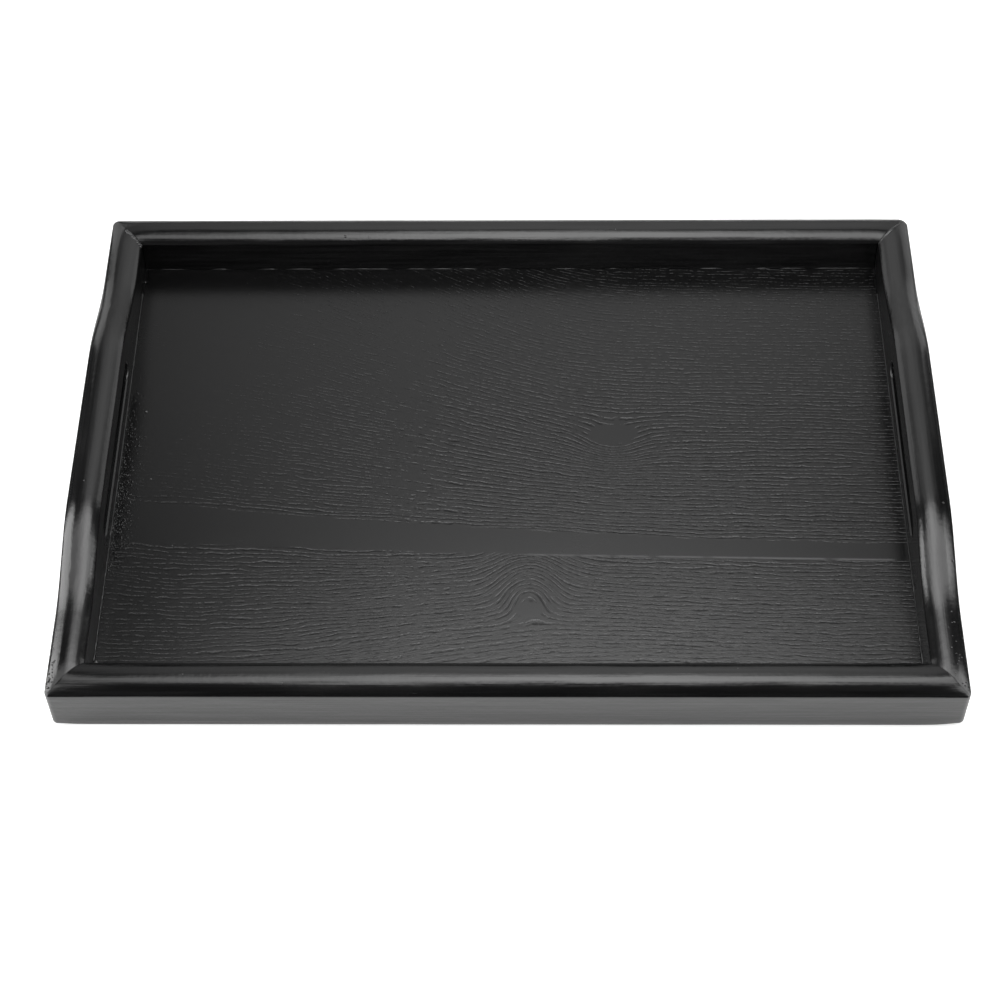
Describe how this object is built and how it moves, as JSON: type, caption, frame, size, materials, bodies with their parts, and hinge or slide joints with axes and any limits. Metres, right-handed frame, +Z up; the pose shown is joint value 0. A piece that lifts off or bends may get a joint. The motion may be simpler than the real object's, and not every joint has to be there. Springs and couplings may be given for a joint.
{
  "type": "serving tray",
  "caption": "Rectangular black wooden serving tray with mitred, round-topped rails, raised end rails with hand slots and an open-grain base panel held in a groove.",
  "frame": {"origin": "middle of the underside, on the surface that the tray stands on", "axes": "+X along the tray from the left handle to the right one, +Y from the front rail to the back rail, +Z up"},
  "size_m": [0.4, 0.27, 0.0405],
  "materials": {
    "black_paint": "gloss black paint over wood",
    "black_veneer": "black paint over open-pored veneer",
    "panel_core": "bare sheet",
    "brad_steel": "bright wire",
    "wood_filler": "dried filler"
  },
  "bodies": {
    "root": {"front_rail": "black_paint", "back_rail": "black_paint", "left_handle_rail": "black_paint", "right_handle_rail": "black_paint", "base_face_veneer": "black_veneer", "base_core": "panel_core", "base_back_veneer": "black_veneer", "front_left_lower_brad": "brad_steel", "front_left_upper_brad": "brad_steel", "front_right_lower_brad": "brad_steel", "front_right_upper_brad": "brad_steel", "back_left_lower_brad": "brad_steel", "back_left_upper_brad": "brad_steel", "back_right_lower_brad": "brad_steel", "back_right_upper_brad": "brad_steel", "front_left_lower_filler": "wood_filler", "front_left_upper_filler": "wood_filler", "front_right_lower_filler": "wood_filler", "front_right_upper_filler": "wood_filler", "back_left_lower_filler": "wood_filler", "back_left_upper_filler": "wood_filler", "back_right_lower_filler": "wood_filler", "back_right_upper_filler": "wood_filler"}
  },
  "joints": []
}
